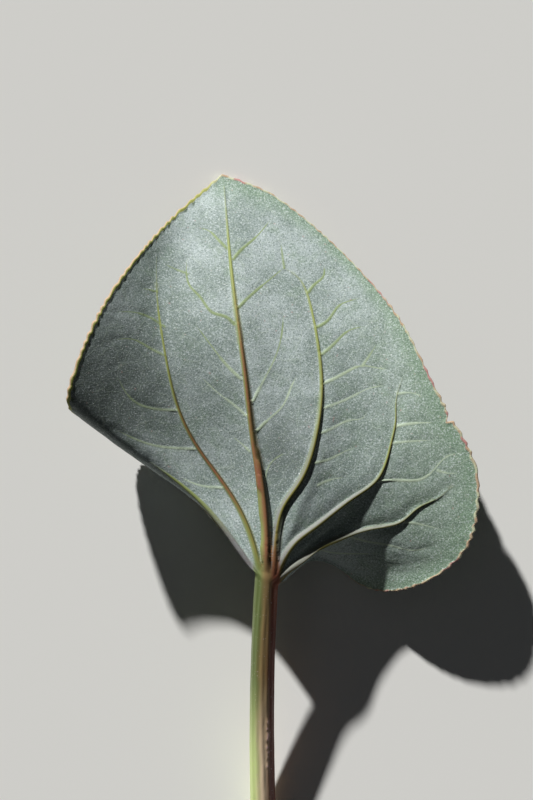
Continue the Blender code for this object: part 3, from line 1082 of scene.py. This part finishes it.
class Paint:
    # a material and its nodes; place is in millimetres
    def __init__(self, name):
        self.material = bpy.data.materials.new(name)
        self.material.use_nodes = True
        self.tree = self.material.node_tree
        self.tree.nodes.clear()
        place = self.add("ShaderNodeTexCoord", output="Object")
        values = {0: place, "Scale": 1 / mm}
        self.place = self.add("ShaderNodeVectorMath", {"operation": "SCALE"}, values)

    def add(self, kind, settings=None, values=None, output=0):
        node = self.tree.nodes.new(kind)
        for name, value in (settings or {}).items():
            setattr(node, name, value)
        for name, value in (values or {}).items():
            if isinstance(value, Wire):
                self.tree.links.new(value.socket, node.inputs[name])
            else:
                node.inputs[name].default_value = value
        return Wire(self, node.outputs[output])

    def maths(self, operation, first, second):
        return self.add("ShaderNodeMath", {"operation": operation}, {0: first, 1: second})

    def band(self, value, low, high):
        # 0 below low, 1 above high, eased between
        return self.add("ShaderNodeMapRange", {"interpolation_type": "SMOOTHSTEP"},
                        {"Value": value, "From Min": low, "From Max": high})

    def mask(self, name):
        return self.add("ShaderNodeAttribute", {"attribute_name": name}, output="Fac")

    def along(self, axis):
        return self.add("ShaderNodeSeparateXYZ", {}, {0: self.place}, axis)

    def spot(self, offset, stretch=(1.0, 1.0, 1.0)):
        return self.add("ShaderNodeMapping", {}, {
            "Vector": self.place, "Location": (offset, offset, offset), "Scale": stretch,
        })

    def noise(self, size, detail=2.0, roughness=0.5, stretch=(1.0, 1.0, 1.0), offset=0.0):
        return self.add("ShaderNodeTexNoise", {}, {
            "Vector": self.spot(offset, stretch), "Scale": 1 / size,
            "Detail": detail, "Roughness": roughness,
        })

    def cells(self, size, feature="F1", offset=0.0):
        values = {"Vector": self.spot(offset), "Scale": 1 / size}
        return self.add("ShaderNodeTexVoronoi", {"feature": feature}, values, "Distance")

    def mix(self, amount, first, second, way="MIX"):
        return self.add("ShaderNodeMix", {"data_type": "RGBA", "blend_type": way},
                        {0: amount, 6: first, 7: second}, 2)

    def bump(self, height, depth):
        # height in shares of depth, a length in millimetres
        return self.add("ShaderNodeBump", {}, {"Height": height, "Distance": depth * mm})

    def finish(self, piece, values):
        surface = self.add("ShaderNodeBsdfPrincipled", {}, values)
        output = self.tree.nodes.new("ShaderNodeOutputMaterial")
        self.tree.links.new(surface.socket, output.inputs["Surface"])
        piece.data.materials.clear()
        piece.data.materials.append(self.material)


stalkLook = {
    "green": tint(98, 112, 60),
    # paler green towards the cut: painted light
    "greenPaintedLight": tint(200, 216, 142),
    "middle": tint(146, 122, 80),
    # paler tan towards the cut: painted light
    "middlePaintedLight": tint(244, 218, 184),
    "red": tint(124, 60, 44),
    # lighter red near the neck: painted light
    "redPaintedLight": tint(160, 92, 70),
    "blister": tint(228, 190, 188),
    "speck": tint(206, 186, 178),
    "cut": tint(196, 200, 164),
    "cutRim": tint(120, 132, 84),
    "roughness": 0.42,
}


def stalkColour(paint, across, fromNeck):
    # green on the left, tan along the top, red-brown on the right; paler towards the cut and a
    # lighter red near the neck, both painted light
    look = stalkLook
    wave = paint.noise(3.0, 2.0, 0.5, stretch=(1.0, 0.25, 1.0))
    place = across + (wave - 0.5) * 0.5
    # paler towards the cut: painted light
    low = paint.band(fromNeck, 14.0, 34.0)
    green = paint.mix(low, look["green"], look["greenPaintedLight"])
    middle = paint.mix(low, look["middle"], look["middlePaintedLight"])
    colour = paint.mix(paint.band(place, -0.65, 0.0), green, middle)
    red = paint.mix(paint.band(fromNeck, 9.0, 1.0), look["red"], look["redPaintedLight"])
    return paint.mix(paint.band(place, 0.15, 0.75), colour, red)


bladeLook = {
    "skinDark": tint(134, 149, 144),
    "skinLight": tint(168, 181, 180),
    # the colour of the painted shade patches
    "paintedShade": tint(86, 95, 92),
    "skinGreen": tint(130, 152, 132),
    "lobeGreen": tint(134, 156, 134),
    "marginGreen": tint(122, 150, 122),
    # pale grain crests: partly wax bloom, partly painted sheen; dark grain hollows: painted shade
    "bloomAndSheen": tint(206, 216, 218),
    "hollow": tint(92, 108, 102),
    # near-white specks: painted glints
    "speck": tint(236, 240, 240),
    "pinkSpeck": tint(186, 142, 138),
    "fineVein": tint(190, 206, 180),
    "fineGreen": tint(138, 156, 104),
    "veinGreen": tint(124, 120, 58),
    "veinTop": tint(158, 168, 96),
    "veinLitFlank": tint(138, 150, 90),
    "veinPale": tint(122, 116, 118),
    # painted light and painted shade on the vein flanks
    "veinRed": tint(138, 86, 62),
    "veinPaintedShade": tint(58, 60, 30),
    "rimPale": tint(196, 200, 168),
    "rimGreen": tint(158, 162, 88),
    "rimTan": tint(184, 158, 130),
    "rimPink": tint(183, 124, 126),
    # painted shade between the left teeth
    "rimPaintedShade": tint(52, 74, 40),
    "upper": tint(58, 88, 50),
    "upperDark": tint(38, 64, 36),
    "upperVein": tint(116, 138, 84),
    "roughness": 0.58,
    "grainDepth": 0.03,
}


def lamina(paint, grain, sparkle):
    # the grey-green underside: cloudy, with painted shade patches, and a fine grain whose pale crests
    # are partly the wax bloom and partly painted sheen, with painted shade in its hollows and white
    # specks of painted glint
    look = bladeLook
    broad = paint.noise(9.0, 3.0, 0.55)
    patch = paint.noise(3.2, 3.0, 0.6, offset=11.0)
    skin = paint.mix(paint.band(broad, 0.36, 0.64), look["skinDark"], look["skinLight"])
    skin = paint.mix(paint.band(patch, 0.5, 0.72) * 0.5, skin, look["skinGreen"])
    towardsLobe = paint.band(paint.along("X") + patch * 14 - 7, 6.0, 30.0)
    skin = paint.mix(towardsLobe * 0.7, skin, look["lobeGreen"])
    verge = paint.band(paint.mask("inset") + patch * 6, 9.0, 3.5) * (1 - paint.mask("left"))
    skin = paint.mix(verge * 0.75, skin, look["marginGreen"])
    # painted shade patches darken the skin
    skin = paint.mix(paint.mask("paintedShade"), skin, look["paintedShade"])
    calm = 1 - paint.mask("paintedShade") * 0.5
    # pale grain crests, partly wax bloom and partly painted sheen, and painted shade in the grain's
    # hollows
    skin = paint.mix(paint.band(grain, 0.52, 0.68) * calm * 0.75, skin, look["bloomAndSheen"])
    skin = paint.mix(paint.band(grain, 0.48, 0.33) * calm * 0.75, skin, look["hollow"])
    # white specks: painted glints
    skin = paint.mix(paint.band(sparkle, 0.68, 0.78) * 0.8, skin, look["speck"])
    pink = paint.band(paint.noise(0.7, 1.0, 0.5, offset=47.0), 0.72, 0.8)
    return paint.mix(pink * 0.4, skin, look["pinkSpeck"])


def veinColour(paint, skin, grain, sparkle, mottle):
    # green, red-brown towards the fork, with painted shade down the flank away from the key light and
    # a lighter painted-light green, frosted, on the flank towards it
    look = bladeLook
    flank = paint.mask("flank")
    upward = paint.band(paint.along("Y"), 14.0, 34.0)
    green = paint.mix(upward, look["veinGreen"], look["veinTop"])
    # lighter green on the flank towards the key light: painted light
    vein = paint.mix(paint.band(flank, 0.0, 0.6), green, look["veinLitFlank"])
    redness = paint.mask("red") * paint.band(flank, 0.75, 0.25) * (0.15 + mottle * 1.2)
    vein = paint.mix(redness, vein, look["veinRed"])
    # painted shade down the flank away from the key light, fading up the leaf
    shaded = paint.band(flank * -1, 0.25, 0.7) * (1 - upward)
    vein = paint.mix(shaded * 0.85, vein, look["veinPaintedShade"])
    frost = paint.mix(paint.band(grain, 0.62, 0.42) * 0.4, look["veinPale"], skin)
    vein = paint.mix(paint.mask("pale") * paint.band(flank, 0.0, 0.45), vein, frost)
    # pale specks on the veins: painted glints
    return paint.mix(paint.band(sparkle, 0.66, 0.76) * 0.4, vein, look["veinPale"])


def fineVeinColour(paint, grain):
    # pale in the lower blade, greener above and in the painted shade patches
    look = bladeLook
    above = paint.band(paint.along("Y") + grain * 8, 22.0, 34.0)
    fine = paint.mix(above, look["fineVein"], look["fineGreen"])
    return paint.mix(paint.mask("paintedShade"), fine, look["fineGreen"])


def upperColour(paint):
    look = bladeLook
    blotch = paint.band(paint.noise(9.0, 3.0, 0.55), 0.35, 0.65)
    upper = paint.mix(blotch, look["upperDark"], look["upper"])
    veins = paint.band(paint.mask("vein") + paint.mask("fineVein") * 0.7, 0.2, 1.0)
    return paint.mix(veins * 0.7, upper, look["upperVein"])


def withRim(paint, colour, mottle):
    # painted shade in the hollows between the left teeth, a green cord on the left, a tan and pink
    # rim on the right
    look = bladeLook
    inset, left = paint.mask("inset"), paint.mask("left")
    # painted shade in the notches of the left teeth
    notchPaintedShade = paint.band(inset, 0.6, 0.8) * paint.band(inset, 1.7, 0.9) * left
    patches = paint.band(paint.noise(4.0, 2.0, 0.5, offset=21.0), 0.42, 0.56)
    notchPaintedShade = notchPaintedShade * patches * paint.band(paint.mask("notch") + (mottle - 0.5) * 0.6, 0.5, 0.85)
    colour = paint.mix(notchPaintedShade * 0.8, colour, look["rimPaintedShade"])
    wander = paint.noise(1.6, 2.0, 0.6, offset=5.0)
    rimRight = paint.mix(paint.band(wander, 0.42, 0.6), look["rimPale"], look["rimTan"])
    pinkRim = paint.band(paint.noise(4.0, 2.0, 0.6), 0.55, 0.62)
    rimRight = paint.mix(pinkRim * 0.8, rimRight, look["rimPink"])
    rimLeft = paint.mix(paint.band(inset, 0.12, 0.0), look["rimGreen"], look["rimTan"])
    rim = paint.mix(left, rimRight, rimLeft)
    reach = inset - left * margin["cordInset"]
    return paint.mix(paint.band(reach, 0.45, 0.2), colour, rim)


def finishBlade(piece):
    look = bladeLook
    paint = Paint("bladeGreyGreen")
    grain = paint.noise(0.28, 2.0, 0.75)
    sparkle = paint.noise(0.24, 1.0, 0.5, offset=31.0)
    pebble = paint.cells(0.26)
    net = paint.band(paint.cells(1.9, "DISTANCE_TO_EDGE", 3.0), 0.05, 0.0)
    mottle = paint.noise(1.0, 2.0, 0.6, stretch=(1.0, 0.3, 1.0))

    skin = paint.mix(net * 0.15, lamina(paint, grain, sparkle), look["fineVein"])
    fineVeins = paint.band(paint.mask("fineVein"), 0.1, 0.8)
    skin = paint.mix(fineVeins * 0.85, skin, fineVeinColour(paint, grain))
    under = paint.mix(paint.mask("vein"), skin, veinColour(paint, skin, grain, sparkle, mottle))
    colour = paint.mix(paint.mask("upperSide"), under, upperColour(paint))
    colour = withRim(paint, colour, mottle)

    # the stalk's colours run on into the fork
    across = (paint.along("X") + (origin[0] - form["neck"][0])) / form["neckRadius"]
    near = paint.band(paint.mask("fromNeck"), 7.0, 0.3) * paint.band(across * across, 1.7, 1.0)
    colour = paint.mix(near, colour, stalkColour(paint, across, paint.mask("fromNeck") * 0.1))

    texture = grain * 0.7 + pebble * 0.6 + sparkle * 0.3 + net * 0.3
    calm = 1 - paint.mask("vein") * 0.6
    paint.finish(piece, {
        "Base Color": colour,
        "Roughness": look["roughness"] - paint.mask("upperSide") * 0.16 + grain * 0.1,
        "Normal": paint.bump(texture * calm, look["grainDepth"]),
        "Specular IOR Level": 0.4,
    })


def finishStalk(piece):
    look = stalkLook
    paint = Paint("stalkGreenBrown")
    colour = stalkColour(paint, paint.mask("across"), paint.mask("fromNeck"))
    streak = paint.noise(0.4, 3.0, 0.6, stretch=(1.0, 0.15, 1.0), offset=9.0)
    colour = paint.mix(paint.band(streak, 0.5, 0.75) * 0.35, colour, look["speck"], "SOFT_LIGHT")
    speck = paint.band(paint.noise(0.34, 1.0, 0.5, offset=17.0), 0.68, 0.76)
    colour = paint.mix(speck * 0.6, colour, look["speck"])
    colour = paint.mix(paint.band(paint.mask("blister"), 0.25, 0.8), colour, look["blister"])
    cut = paint.mix(paint.band(paint.cells(0.5), 0.25, 0.5), look["cut"], look["cutRim"])
    colour = paint.mix(paint.mask("cut"), colour, cut)
    height = streak * 0.6 + paint.noise(0.3, 2.0, 0.6) * 0.4
    paint.finish(piece, {
        "Base Color": colour,
        "Roughness": look["roughness"] + streak * 0.12,
        "Normal": paint.bump(height, 0.05),
        "Specular IOR Level": 0.5,
        "Sheen Weight": 0.08,
    })


floorLook = {
    "size": 3.0,
    "colour": tint(232, 232, 229),
    "cloud": tint(222, 222, 218),
    "roughness": 0.85,
}


def buildFloor():
    bpy.ops.object.select_all(action="DESELECT")
    bpy.ops.mesh.primitive_plane_add(size=floorLook["size"], location=(0.0, 0.0, cadLow.z))
    floor = bpy.context.object
    floor.name = "studioFloor"
    bpy.ops.object.transform_apply(location=True, rotation=True, scale=True)
    paint = Paint("studioPale")
    shade = paint.mix(paint.noise(60.0, 2.0, 0.5) * 0.1, floorLook["colour"], floorLook["cloud"])
    paint.finish(floor, {"Base Color": shade, "Roughness": floorLook["roughness"]})


# Building

addCamera()
addLights()
print("camera and lights placed")

leafBlade = buildBlade()
finishBlade(leafBlade)
print("blade built:", len(leafBlade.data.polygons), "faces")

leafStalk = buildStalk()
finishStalk(leafStalk)
print("stalk built:", len(leafStalk.data.polygons), "faces")

buildFloor()
print("floor laid")

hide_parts("leaf_blade")
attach(leafBlade, "root")
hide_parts("leaf_stalk")
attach(leafStalk, "root")
